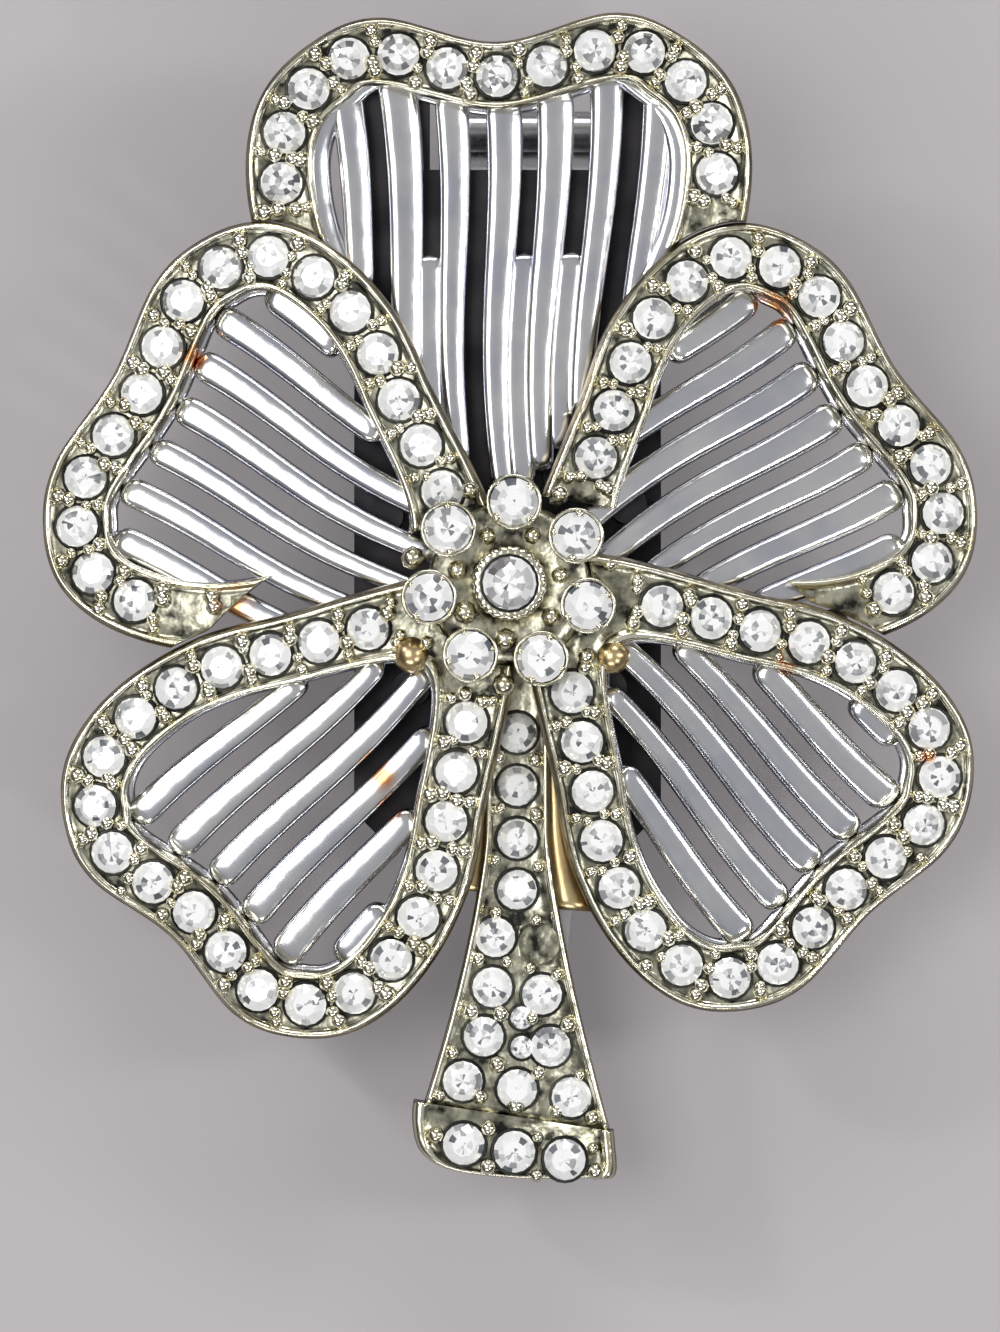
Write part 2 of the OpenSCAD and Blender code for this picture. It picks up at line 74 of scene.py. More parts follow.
def piece(name, points, faces, finishes, body="ornament", smooth=True, slot=None, parts=None):
    """A mesh object from ornament-frame points and a face list, with its normals facing out.
    parts gives the number of each face's finish."""
    mesh = bpy.data.meshes.new(name)
    mesh.from_pydata(at_rest(points).tolist(), [], [list(map(int, f)) for f in faces])
    if parts is not None:
        mesh.polygons.foreach_set("material_index", np.asarray(parts, int))
    work = bmesh.new()
    work.from_mesh(mesh)
    bmesh.ops.remove_doubles(work, verts=work.verts, dist=1e-7)
    bmesh.ops.dissolve_degenerate(work, edges=work.edges, dist=1e-8)
    bmesh.ops.recalc_face_normals(work, faces=work.faces)
    work.to_mesh(mesh)
    work.free()
    for finish in finishes:
        mesh.materials.append(finish)
    mesh.polygons.foreach_set("use_smooth", [smooth] * len(mesh.polygons))
    made = bpy.data.objects.new(name, mesh)
    bpy.context.scene.collection.objects.link(made)
    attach(made, body)
    return made


class Link:
    """A node's output with arithmetic: an expression on values adds its Math nodes."""

    def __init__(self, shop, socket):
        self.shop, self.socket = shop, socket

    def maths(self, operation, *others):
        return self.shop.node("ShaderNodeMath", {"operation": operation}, dict(enumerate((self,) + others)))

    def __add__(self, other):
        return self.maths("ADD", other)

    def __mul__(self, other):
        return self.maths("MULTIPLY", other)

    def __sub__(self, other):
        return self.maths("SUBTRACT", other)

    def __rsub__(self, other):
        return self.shop.node("ShaderNodeMath", {"operation": "SUBTRACT"}, {0: other, 1: self})

    __radd__, __rmul__ = __add__, __mul__


class Shop:
    """One material being made: its tree, its Principled shader, and the one method that adds a node."""

    def __init__(self, name, **constants):
        self.material = bpy.data.materials.new(name)
        self.material.use_nodes = True
        self.tree = self.material.node_tree
        self.shader = self.tree.nodes["Principled BSDF"]
        for socket, value in constants.items():
            self.shader.inputs[socket.replace("_", " ")].default_value = value

    def node(self, kind, settings=None, inputs=None, output=0):
        made = self.tree.nodes.new(kind)
        for key, value in (settings or {}).items():
            setattr(made, key, value)
        for key, value in (inputs or {}).items():
            self.plug(made.inputs[key], value)
        return Link(self, made.outputs[output])

    def plug(self, socket, value):
        if isinstance(value, Link):
            self.tree.links.new(value.socket, socket)
        else:
            socket.default_value = value

    def feed(self, **links):
        for socket, value in links.items():
            self.plug(self.shader.inputs[socket.replace("_", " ")], value)
        return self.material

    def noise(self, scale, detail=2.0):
        """Noise on Object coordinates, scale in cycles a metre."""
        where = self.node("ShaderNodeTexCoord", output="Object")
        return self.node("ShaderNodeTexNoise", inputs={"Vector": where, "Scale": scale, "Detail": detail},
                         output="Fac")

    def spread(self, value, low, high):
        """value from 0 to 1 carried to low to high."""
        return self.node("ShaderNodeMapRange", inputs={"Value": value, "To Min": low, "To Max": high})

    def blend(self, factor, first, second):
        settings = {"data_type": "RGBA"}
        return self.node("ShaderNodeMix", settings, {"Factor": factor, 6: first, 7: second}, output=2)

    def clamp(self, value):
        return self.node("ShaderNodeClamp", inputs={"Value": value})

    def bump(self, height, depth, strength):
        return self.node("ShaderNodeBump", inputs={"Height": height, "Distance": depth, "Strength": strength})


# (x, y, size) in mm of painted copper glints, orange reflections painted into the plating's colour at these
# places, and how fast the copper fades out round them
GLINT_FADE = 1.4
COPPER = (0.75, 0.36, 0.16, 1)
COPPER_GLINTS = [(-16.8, 12, 0.9), (-14.4, -1.2, 1.2), (13.9, 14.7, 1.1), (-6.7, -10.2, 1.0), (-6.2, -11.8, 0.9),
          (14.6, -4.1, 0.8), (21.9, -9.2, 0.7)]


def painted_glints(shop):
    """1 in the middle of each painted copper glint, falling raggedly to 0 round it."""
    place = shop.node("ShaderNodeTexCoord", output="Object")
    place = shop.node("ShaderNodeVectorMath", {"operation": "MULTIPLY"}, {0: place, 1: (1, 1, 0)})
    ragged = shop.noise(900)
    most = ragged - 1.6
    for x, y, size in COPPER_GLINTS:
        spot = at_rest([(x, y, 3)])[0] * (1, 1, 0)
        ends = {0: place, 1: spot}
        away = shop.node("ShaderNodeVectorMath", {"operation": "DISTANCE"}, ends, output="Value")
        most = most.maths("MAXIMUM", ragged + 0.9 - away * (GLINT_FADE / (size * MM)))
    return shop.clamp(most)


WAVE_DEPTH = 0.12 * MM


def plating(name, colour, shade, rough, uneven, waves, clouds=260, glints=False):
    """Polished plating: colour drifts to shade in patches of clouds cycles a metre, roughness is rough, more
    or less uneven, and waves cycles a metre of a shallow waviness break up what it mirrors. With glints,
    copper glints are painted in at their listed places: orange reflections painted into the colour."""
    shop = Shop(name, Metallic=1.0)
    cloudy, fine, rippled = shop.noise(clouds, 3), shop.noise(2600), shop.noise(waves)
    tone = shop.blend(shop.clamp(shop.spread(cloudy, -1.2, 2.2)), colour, shade)
    return shop.feed(
        Base_Color=shop.blend(painted_glints(shop), tone, COPPER) if glints else tone,
        Roughness=shop.spread(cloudy * 0.5 + fine * 0.5, rough - uneven, rough + uneven),
        Normal=shop.bump(rippled, WAVE_DEPTH, 0.5),
    )


# the pale gold carries the painted copper glints, orange reflections painted into its colour
pale_gold = plating("pale_gold_cast", (0.88, 0.85, 0.72, 1), (0.66, 0.62, 0.46, 1),
                    rough=0.2, uneven=0.08, waves=900, glints=True)
# the walls' darker gold, in patches nearly black: painted shade, standing in for the dark reflection along
# the edges
shade_painted_gold = plating("shade_painted_wall_gold", (0.5, 0.42, 0.26, 1), (0.16, 0.14, 0.1, 1),
                    rough=0.32, uneven=0.1, waves=700, clouds=420)
dark_seat = plating("darkened_recess", (0.62, 0.6, 0.46, 1), (0.03, 0.03, 0.025, 1),
                    rough=0.3, uneven=0.12, waves=1500, clouds=1100)

BAND_W, BAND_T = 3.6, 1.4
LIP_H = 0.3
HUB_R = 4.3
SEAM = 0.12
# a side petal's lower arm is cut back by ARM_CUT nearer to the hub than ARM_NEAR, and not beyond ARM_FAR
ARM_FAR, ARM_NEAR, ARM_CUT = 16.6, 12.5, 2.2
BAND_STEPS = 176
# how close to the hub the top petal's band ends, between the petals in front
TOP_ROOT = 9.5
# a cutter reaches through everything, and each next one a little further, so that no two ends are level
CUT_LOW, CUT_HIGH, FURTHER = -6, 12, 0.3

# angle of the axis, length, half width, depth of the notch, height at the hub, tilt, how far the axis passes
# beside the hub, camber, and the power that rounds the flutes, where less is flatter on top
Petal = namedtuple("Petal", "angle length half_width notch height tilt aside camber roundness")
PETALS = {
    "top_petal": Petal(91.2, 29.9, 13.3, 1.4, 1.9, 1.5, 0.1, -0.4, 0.6),
    "upper_left_petal": Petal(151, 24, 11.6, 0.45, 3.6, 6, 0.6, -0.35, 0.58),
    "upper_right_petal": Petal(33.5, 23.7, 11.7, 0.5, 3.6, 6, -1.7, 0.3, 0.68),
    "lower_left_petal": Petal(226.6, 26.4, 11.1, 0.7, 4.3, 6, -0.2, 0.4, 0.5),
    "lower_right_petal": Petal(-46.3, 26, 11, 0.4, 4.3, 6, 1.7, 0.4, 0.68),
}
IN_FRONT = {
    "top_petal": ("upper_left_petal", "upper_right_petal"),
    "upper_left_petal": ("lower_left_petal",),
    "upper_right_petal": ("lower_right_petal",),
    "lower_left_petal": (),
    "lower_right_petal": (),
}


def lay(petal, points):
    """Petal coordinates (along the axis, across it, above the band's back) to the ornament's.
    The petal is cambered by a parabola across its width, tilted back and turned to its angle."""
    u, v, w = np.asarray(points, float).T
    w = w - petal.camber * (v / petal.half_width) ** 2
    a, t = math.radians(petal.angle), math.radians(petal.tilt)
    x, y = u * math.cos(t) + w * math.sin(t), v + petal.aside
    z = petal.height + w * math.cos(t) - u * math.sin(t)
    return np.stack([x * math.cos(a) - y * math.sin(a), x * math.sin(a) + y * math.cos(a), z], 1)


def closed_curve(points, steps):
    """Catmull-Rom curve through the points and back to the first, steps samples a span."""
    b = np.asarray(points, float)
    a, c, d = np.roll(b, 1, 0), np.roll(b, -1, 0), np.roll(b, -2, 0)
    t = (np.arange(steps) / steps)[None, :, None]
    a, b, c, d = (p[:, None, :] for p in (a, b, c, d))
    curve = 0.5 * (2 * b + (c - a) * t + (2 * a - 5 * b + 4 * c - d) * t**2 + (3 * b - a - 3 * c + d) * t**3)
    return curve.reshape(-1, 2)


def outline(petal, inset, steps):
    """The petal's closed outline moved in by inset: a smooth curve from its notch round the left lobe to
    the root, where the two sides meet in a point, and back up the right side as a mirror image."""
    # shares of the length and of the half width, from the top of the lobe down to the root
    lobe = [(1, 0.46), (0.955, 0.74), (0.86, 0.94), (0.72, 1), (0.55, 0.92), (0.38, 0.7), (0.22, 0.37)]
    half = np.array([(petal.length - petal.notch, 0)]
                    + [(petal.length * x, petal.half_width * y) for x, y in lobe])
    slope = math.atan2(half[5, 1] - half[7, 1], half[5, 0] - half[7, 0])
    tip = half[7, 0] - half[7, 1] / math.tan(slope) + inset / math.sin(slope)
    along = half[2:] - half[:-2]
    along /= np.linalg.norm(along, axis=1)[:, None]
    moved = half[1:-1] + inset * np.stack([-along[:, 1], along[:, 0]], 1)
    moved = moved[(moved[:, 1] > 1) & (moved[:, 0] > tip + 1)]
    half = np.vstack([[half[0, 0] - inset, 0], moved, [tip, 0]])
    return closed_curve(np.vstack([half, half[-2:0:-1] * (1, -1)]), steps)


def even(curve, count):
    """A closed curve resampled to count points, evenly by length on each side of the axis."""
    turn = len(curve) // 2
    left = curve[: turn + 1]
    run = np.concatenate([[0], np.cumsum(np.linalg.norm(np.diff(left, axis=0), axis=1))])
    at = np.linspace(0, run[-1], count // 2 + 1)
    side = np.stack([np.interp(at, run, left[:, 0]), np.interp(at, run, left[:, 1])], 1)
    return np.vstack([side, side[-2:0:-1] * (1, -1)])


def skin(rows, columns):
    """Quads of a grid that closes on itself both ways, its points numbered row by row."""
    i, j = np.meshgrid(np.arange(rows), np.arange(columns), indexing="ij")
    k, m = (i + 1) % rows, (j + 1) % columns
    return np.stack([i * columns + j, i * columns + m, k * columns + m, k * columns + j], -1).reshape(-1, 4)


def band(petal, profile, count):
    """A closed band: profile gives (distance in from the edge, height) of its section, and each of its
    points runs round the outline between the outer edge and the edge moved in by BAND_W."""
    outer, inner = even(outline(petal, 0, 24), count), even(outline(petal, BAND_W, 24), count)
    share = (profile[:, 0] / BAND_W)[:, None, None]
    flat = outer[None] * (1 - share) + inner[None] * share
    height = np.broadcast_to(profile[:, 1][:, None, None], flat.shape[:2] + (1,))
    points = np.concatenate([flat, height], 2).reshape(-1, 3)
    return lay(petal, points), skin(len(profile), count)


def prism(flat, low, high):
    """The closed prism over a flat outline."""
    n = len(flat)
    points = np.vstack([np.column_stack([flat, np.full(n, z)]) for z in (low, high)])
    around = np.arange(n)
    sides = np.stack([around, (around + 1) % n, (around + 1) % n + n, around + n], 1)
    return points, [list(range(n))[::-1], list(range(n, 2 * n))] + sides.tolist()


def plan(petal, inset, steps=12):
    """The outline moved in by inset, seen from the front in the ornament's plane."""
    flat = outline(petal, inset, steps)
    return lay(petal, np.column_stack([flat, np.zeros(len(flat))]))[:, :2]


def trim(made, cutters):
    """Cuts each (points, faces) solid away from a piece. What is laid open takes the piece's first finish."""
    for points, faces in cutters:
        tool = piece("cutter", points, faces, [dark_seat], smooth=False)
        cut = made.modifiers.new("cut", "BOOLEAN")
        cut.operation, cut.solver, cut.object = "DIFFERENCE", "EXACT", tool
        bpy.context.view_layer.update()
        trimmed = bpy.data.meshes.new_from_object(made.evaluated_get(bpy.context.evaluated_depsgraph_get()))
        made.modifiers.clear()
        made.data = trimmed
        bpy.data.objects.remove(tool)


def disc(radius, count=48):
    """A circle round the hub as a flat outline."""
    turn = np.arange(count) * 2 * math.pi / count
    return np.stack([np.cos(turn), np.sin(turn)], 1) * radius


def leaning(petal, grown=0.0, steps=12):
    """The plan of a petal grown by the seam far from the hub and by ARM_CUT close to it, and by grown."""
    far, near = plan(petal, -SEAM - grown, steps), plan(petal, -ARM_CUT - grown, steps)
    share = np.clip((ARM_FAR - np.linalg.norm(near, axis=1)) / (ARM_FAR - ARM_NEAR), 0, 1)[:, None]
    return far * (1 - share) + near * share


def cutters_for(name):
    """The petals in front of a petal, grown by the seam, and the hub. A side petal's lower arm runs out
    towards the hub, where the petal in front leans on it."""
    fronts = [PETALS[front] for front in IN_FRONT[name]]
    covers = [plan(front, -SEAM) if name == "top_petal" else leaning(front) for front in fronts]
    root = disc(TOP_ROOT if name == "top_petal" else HUB_R)
    return [prism(cover, CUT_LOW, CUT_HIGH) for cover in covers] + [
        prism(root, CUT_LOW - FURTHER, CUT_HIGH + FURTHER)]


top_z = BAND_T + LIP_H
section = np.array([
    (0.25, 0), (0.06, 0.1), (0, 0.35), (0, 0.8), (0, 1.2), (0.05, 1.45), (0.15, 1.6),
    (0.25, top_z), (0.34, 1.66), (0.43, 1.54), (0.5, 1.42),
    (0.7, 1.37), (1.2, 1.32), (1.8, 1.3), (2.4, 1.32), (2.9, 1.37), (3.14, 1.42),
    (3.21, 1.54), (3.3, 1.66), (3.4, top_z), (3.5, 1.62), (3.57, 1.45),
    (BAND_W, 1.2), (BAND_W, 0.6), (3.57, 0.12), (3.4, 0), (1.8, 0)])
# the finish of each strip between two points of the section: outer wall in painted shade, lip, dark channel,
# lip and back
walls = [2] * 6 + [1] * 4 + [0] * 6 + [1] * 11
for name, petal in PETALS.items():
    points, faces = band(petal, section, BAND_STEPS)
    rim = piece(f"{name}_band", points, faces, [dark_seat, pale_gold, shade_painted_gold], slot="frame_metal",
                parts=np.repeat(walls, BAND_STEPS))
    trim(rim, cutters_for(name))
    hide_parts(f"{name}_frame")

# ---- Petal grilles -----------------------------------------------------------------------------------
# Inside each band sits a stamped and silvered insert: rounded flutes that fan out from the hub and wave a
# little, with open slots between them. It is soldered in from behind, so its edge laps under the band.
# the silver carries the same painted copper glints, orange reflections painted into its colour
silver = plating("polished_silver", (0.86, 0.86, 0.875, 1), (0.68, 0.69, 0.76, 1),
                 rough=0.19, uneven=0.03, waves=420, glints=True)
FLUTE_PITCH, SLOT_W, FLUTE_H = 2.5, 0.9, 0.7
PLATE_T = 0.6
dice = np.random.default_rng(7)
# the flutes are FLUTE_PITCH apart at PITCH_AT from the hub, and fan out from a point FAN behind it
FAN, PITCH_AT = 60, 18
FLUTE_WAVE = 0.35
# how far a flute's rounded end reaches, and how few steps of its line in the open are left out
NOSE, LEAST = 0.9, 24
# the slots of the top petal that low webs close, by the lines they lie on, and how far from the hub
WEBS, WEB_REACH, WEB_H = (-1.5, -0.5, 1.5), 17.5, 0.4
# the number of the top petal's outermost flutes, which follow the band from EDGE_FROM outwards
TOP_EDGE, EDGE_FROM = 4, 14.5
# half the width of the webs and of those flutes
NARROW = 0.7
# how much the top petal's flutes are canted to the right, as a slope
CANT = 0.13


def fan_pitch(x):
    """Distance between two flutes at x along the petal: in proportion to how far the fan's point is."""
    return FLUTE_PITCH * (FAN + x) / (FAN + PITCH_AT)


def flute_line(petal, number, x):
    """Distance from the axis of the numbered line at x along it: an even fan plus one wave."""
    return number * fan_pitch(x) + FLUTE_WAVE * np.sin(2 * math.pi * (x - HUB_R) / (petal.length - HUB_R))


def edge_line(petal, number, x):
    """The line that follows the opening's side, a little inside it, on the side of the number's sign."""
    rim = outline(petal, BAND_W, 12)
    left = rim[: len(rim) // 2 + 1]
    rising = left[np.argmax(left[:, 0]):][::-1]
    return math.copysign(1, number) * (np.interp(x, rising[:, 0], rising[:, 1]) - 0.15)


def inside(points, polygon):
    """For each point, whether it is inside the polygon, by counting the edges to its right."""
    x, y = points[:, 0][:, None], points[:, 1][:, None]
    a, b = polygon, np.roll(polygon, -1, 0)
    rise = b[:, 1] - a[:, 1]
    crosses = (a[:, 1] > y) != (b[:, 1] > y)
    where = a[:, 0] + (y - a[:, 1]) * (b[:, 0] - a[:, 0]) / np.where(rise == 0, 1, rise)
    return (crosses & (x < where)).sum(1) % 2 == 1


def loft(rings):
    """A closed solid through equal closed rings of points, capped at both ends."""
    rings = np.asarray(rings, float)
    n, m = rings.shape[:2]
    i, j = np.meshgrid(np.arange(n - 1), np.arange(m), indexing="ij")
    k = (j + 1) % m
    faces = np.stack([i * m + j, i * m + k, (i + 1) * m + k, (i + 1) * m + j], -1).reshape(-1, 4).tolist()
    return rings.reshape(-1, 3), faces + [list(range(m))[::-1], list(range((n - 1) * m, n * m))]


def open_steps(petal, name, line):
    """For each step of a line, whether a flute is there: in the opening and a little under the band and
    under the petals in front, outside the hub. A side petal's flutes also fill the arm that is cut back."""
    top = name == "top_petal"
    seen = lay(petal, np.column_stack([line, np.zeros(len(line))]))[:, :2]
    here = inside(line, outline(petal, BAND_W - (0.8 if top else 0.1), 12))
    for front in IN_FRONT[name]:
        if not top:
            here |= inside(seen, leaning(PETALS[front])) & inside(line, outline(petal, 0.5, 12))
        here &= ~inside(seen, plan(PETALS[front], 0.9))
    return here & (np.linalg.norm(seen, axis=1) > HUB_R - 0.4)


def flute(petal, name, number, reach=None):
    """One flute: a bar along its line, from the hub to the band, with rounded ends. Its section has flat
    sides and a top that a power of the cosine rounds, and both its sizes fall off near the ends.
    With a reach it is a low web that closes a slot from the hub out to there."""
    x = np.linspace(2, petal.length, 400)
    at_edge = name == "top_petal" and abs(number) == TOP_EDGE
    line = np.column_stack([x, edge_line(petal, number, x) if at_edge else flute_line(petal, number, x)])
    here = open_steps(petal, name, line)
    if reach:
        here &= x < reach
    if at_edge:
        here &= x > EDGE_FROM
    if here.sum() < LEAST:
        return None
    start, end = x[here][0], x[here][-1]
    turn = np.linspace(0, 1, 36)
    along = start + (end - start) * (turn - np.sin(4 * math.pi * turn) / (8 * math.pi))
    near = np.minimum(along - start, end - along)
    nose = np.sqrt(1 - (1 - np.clip(near / NOSE, 0, 1)) ** 2)
    room = fan_pitch(along) - SLOT_W * dice.uniform(0.75, 1.1)
    half = (NARROW if reach or at_edge else room / 2) * np.maximum(nose, 0.02)
    height = (WEB_H if reach else FLUTE_H) * np.maximum(nose, 0.05)
    bow = np.linspace(0, math.pi, 15)
    across = np.sign(np.cos(bow)) * np.abs(np.cos(bow)) ** petal.roundness
    rise = 0.8 * np.sin(bow) ** 0.35 + 0.2 * np.sin(bow) ** 2
    section_v = np.concatenate([across, [-1, 0, 1]])
    section_w = np.concatenate([rise, [-1, -1, -1]])
    aside = half[:, None] * section_v
    v = np.interp(along, x, line[:, 1])[:, None] + aside
    w = np.where(section_w < 0, -PLATE_T * np.maximum(nose, 0.3)[:, None], section_w * height[:, None])
    if name == "top_petal":
        w = w + CANT * aside
    points, faces = loft(np.stack([np.broadcast_to(along[:, None], v.shape), v, w], -1))
    return lay(petal, points), faces


def join(solids):
    """Several (points, faces) as one."""
    points, faces, count = [], [], 0
    for p, f in solids:
        points.append(p)
        faces += [[int(i) + count for i in one] for one in f]
        count += len(p)
    return np.vstack(points), faces


# the insert's flat edge, from under the band to just inside the opening, and how near to the hub it is left
# off, so that it doesn't cross the flutes there
lap = np.array([(2.9, -PLATE_T), (2.9, -0.03), (3.5, -0.03), (3.7, -0.06), (3.78, -0.2), (3.78, -0.45),
                (3.7, -PLATE_T)])
TOP_EDGE_ROOT, SIDE_EDGE_ROOT = 13, 1
for name, petal in PETALS.items():
    top = name == "top_petal"
    count = TOP_EDGE if top else int(petal.half_width // FLUTE_PITCH)
    bars = [flute(petal, name, number) for number in range(-count, count + 1)]
    if top:
        bars += [flute(petal, name, number, WEB_REACH) for number in WEBS]
    grille = piece(f"{name}_flutes", *join([bar for bar in bars if bar]), [silver], slot="grille_metal")
    edge = piece(f"{name}_grille_edge", *band(petal, lap, BAND_STEPS), [silver], slot="grille_metal")
    root = disc(TOP_EDGE_ROOT if top else SIDE_EDGE_ROOT)
    trim(edge, cutters_for(name) + [prism(root, CUT_LOW - 2 * FURTHER, CUT_HIGH + 2 * FURTHER)])
    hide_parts(f"{name}_grille")

# ---- Stones ------------------------------------------------------------------------------------------
# Foil-backed round brilliants, glued into dark seats: an eight-sided table, star, kite and girdle facets
# over a foiled point. Wedges and rings of light and dark are painted into the stones' colour: painted
# sparkle, standing in for the reflections that the foil and facets throw.
STONE_D, STONE_PITCH, STONE_INSET = 2.2, 2.66, 1.85
# how far a stone's girdle stands above the band's height, or the height of the stem's floor
STONE_UP = 0.05
black_seat = plating("blackened_seat", (0.06, 0.06, 0.05, 1), (0.02, 0.02, 0.02, 1),
                     rough=0.4, uneven=0.1, waves=1500)
# how many wedges of painted sparkle a stone shows all round, and how many rings from its middle to its edge
WEDGES, RINGS = 12, 3.4


def sparkle_painted_finish(name, gain, dark):
    """Cut glass with painted sparkle: clear gloss over wedges and rings painted light and dark into its
    colour, standing in for the foil's reflections, shifted from stone to stone. Each cell between them takes
    a tone by chance, from dark to white, and a high gain leaves most of them bright. The attribute cut holds
    the place in the stone, as shares of its radius, and a number for the stone."""
    shop = Shop(name, Metallic=0.15, Roughness=0.08, Coat_Weight=1.0, Coat_Roughness=0.02, IOR=1.6)
    cut = shop.node("ShaderNodeAttribute", {"attribute_name": "cut"}, output="Vector")
    x = shop.node("ShaderNodeSeparateXYZ", inputs={0: cut})
    y, number = (Link(shop, x.socket.node.outputs[axis]) for axis in (1, 2))
    stone = (number * 997).maths("ROUND")
    ring = ((x * x + y * y).maths("SQRT") * RINGS + stone * 0.137).maths("FLOOR")
    wedge = (y.maths("ARCTAN2", x) * (WEDGES / (2 * math.pi)) + ring * 0.5 + stone * 0.31).maths("FLOOR")
    cell = shop.node("ShaderNodeCombineXYZ", inputs={0: wedge, 1: ring, 2: stone})
    solid = {"noise_dimensions": "3D"}
    chance = shop.node("ShaderNodeTexWhiteNoise", solid, {"Vector": cell}, output="Value")
    return shop.feed(Base_Color=shop.blend(shop.clamp(chance * gain), dark, (1.0, 1.0, 1.0, 1)))


# all the stones carry painted sparkle, light and dark painted into their colour in place of reflections
crystal = sparkle_painted_finish("sparkle_painted_crystal", 3.0, (0.13, 0.14, 0.16, 1))
# the top petal's stones: the same painted sparkle with fewer bright cells, as painted shade
shade_painted_crystal = sparkle_painted_finish("shade_painted_crystal", 2.0, (0.12, 0.12, 0.13, 1))
# the centre stone's crystal: fewer bright cells and a darker, slightly brown dark tone
darker_crystal = sparkle_painted_finish("darker_crystal", 1.5, (0.1, 0.085, 0.09, 1))


def brilliant(diameter):
    """(points, faces) of a round brilliant, its girdle's lower edge at z = 0: a table of 8 points, 8 more
    half a step on and lower, a girdle of two rings of 16, and the point below."""
    r, girdle, crown = diameter / 2, 0.05 * diameter, 0.18 * diameter

    def ring(count, radius, z, turn=0.0):
        a = (np.arange(count) + turn) * 2 * math.pi / count
        return np.stack([radius * np.cos(a), radius * np.sin(a), np.full(count, z)], 1)

    points = np.vstack([
        ring(8, 0.56 * r, girdle + crown), ring(8, 0.8 * r, girdle + 0.55 * crown, 0.5), ring(16, r, girdle),
        ring(16, r, 0), [(0, 0, -0.4 * diameter)]])
    faces = [list(range(8))]
    for k in range(8):
        n = (k + 1) % 8
        faces += [[k, 8 + k, n], [n, 8 + k, 16 + 2 * n, 8 + n]]
        faces += [[8 + k, 16 + 2 * k, 17 + 2 * k], [8 + k, 17 + 2 * k, 16 + (2 * k + 2) % 16]]
    for k in range(16):
        n = (k + 1) % 16
        faces += [[16 + k, 32 + k, 32 + n, 16 + n], [32 + k, 48, 32 + n]]
    return points, faces


def lathe(profile, place, around=48, ripple=None):
    """A closed ring turned round a vertical axis at place from a closed (radius, height) profile.
    ripple(angle, radius) is added to the radius."""
    profile = np.asarray(profile, float)
    turn = np.arange(around) * 2 * math.pi / around
    radius = np.repeat(profile[:, 0][:, None], around, 1)
    height = np.repeat(profile[:, 1][:, None], around, 1)
    if ripple:
        radius = radius + ripple(turn[None, :], radius)
    points = np.stack([radius * np.cos(turn), radius * np.sin(turn), height], -1).reshape(-1, 3)
    return points + place, skin(len(profile), around)


def seat(place, diameter):
    """(points, faces) of the low dark ring that a stone of this diameter sits in, sloping to its girdle."""
    r = diameter / 2
    return lathe([(r + 0.17, -0.06), (r + 0.13, 0.03), (r - 0.02, -0.02), (r - 0.1, -0.06)], place, 20)


def as_drawn(points):
    """Leaves points in the ornament's own coordinates as they are."""
    return points


def set_stones(name, places, tilt, diameters, to_ornament, replaced, glass=crystal):
    """One piece of many stones: each turned by chance, tipped a little by tilt, and put at its place in a
    dark seat."""
    points, faces = join(map(seat, places, diameters))
    piece(f"{name}_seats", to_ornament(points), faces, [black_seat], slot="frame_metal")
    solids, cuts = [], []
    for place, diameter in zip(places, diameters):
        points, faces = brilliant(diameter)
        a, b, c = dice.uniform(0, 2 * math.pi), *dice.normal(0, tilt, 2)
        x, y, z = points.T
        x, y = x * math.cos(a) - y * math.sin(a), x * math.sin(a) + y * math.cos(a)
        tipped = np.stack([x + b * z, y + c * z, z - b * x - c * y], 1)
        solids.append((tipped + place, faces))
        cuts.append(np.column_stack([points[:, :2] / (diameter / 2), np.full(len(points), dice.uniform())]))
    points, faces = join(solids)
    made = piece(name, to_ornament(points), faces, [glass], smooth=False, slot="crystal")
    cut = made.data.attributes.new("cut", "FLOAT_VECTOR", "POINT")
    cut.data.foreach_set("vector", np.vstack(cuts).ravel())
    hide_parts(replaced)


def stone_line(petal):
    """The line of the stones round the left half of the band, as a function that gives the place at a
    distance along it, and the distances a pitch apart from the notch down to the root."""
    line = outline(petal, STONE_INSET, 5)
    half = line[: len(line) // 2 + 1]
    run = np.concatenate([[0], np.cumsum(np.linalg.norm(np.diff(half, axis=0), axis=1))])

    def at(s):
        return np.stack([np.interp(s, run, half[:, 0]), np.interp(s, run, half[:, 1])], 1)

    return at, np.arange(0, run[-1], STONE_PITCH)


def free_places(name, flat, room):
    """Whether each petal-plane place is clear of the hub and of the petals in front, by room."""
    petal = PETALS[name]
    seen = lay(petal, np.column_stack([flat, np.zeros(len(flat))]))[:, :2]
    free = np.linalg.norm(seen, axis=1) > HUB_R + STONE_D / 2 + 0.25
    for front in IN_FRONT[name]:
        free &= ~inside(seen, plan(PETALS[front], -room, 5))
        if name != "top_petal":
            free &= ~inside(seen, leaning(PETALS[front], room, 5))
    return free


for name, petal in PETALS.items():
    at, steps = stone_line(petal)
    side = at(steps)
    flat = np.vstack([side, side[1:] * (1, -1)])
    flat = flat[free_places(name, flat, STONE_D / 2 + 0.15)]
    places = np.column_stack([flat, np.full(len(flat), BAND_T + STONE_UP)])
    # the top petal's stones take the crystal painted darker, as painted shade
    set_stones(f"{name}_brilliants", places, 0.06, [STONE_D] * len(places), partial(lay, petal),
               f"{name}_stones", shade_painted_crystal if name == "top_petal" else crystal)

# ---- Grains ------------------------------------------------------------------------------------------
# Little beads of metal raised from the lips and pushed over the stones to hold them, four in each gap
# between two stones. They are part of the casting and plated with it.

# how far from the middle of the band the outer and the inner pair sit, and how far the inner one is shifted
GRAIN_OUT, GRAIN_IN, GRAIN_SHIFT = 1.08, 0.5, 0.12


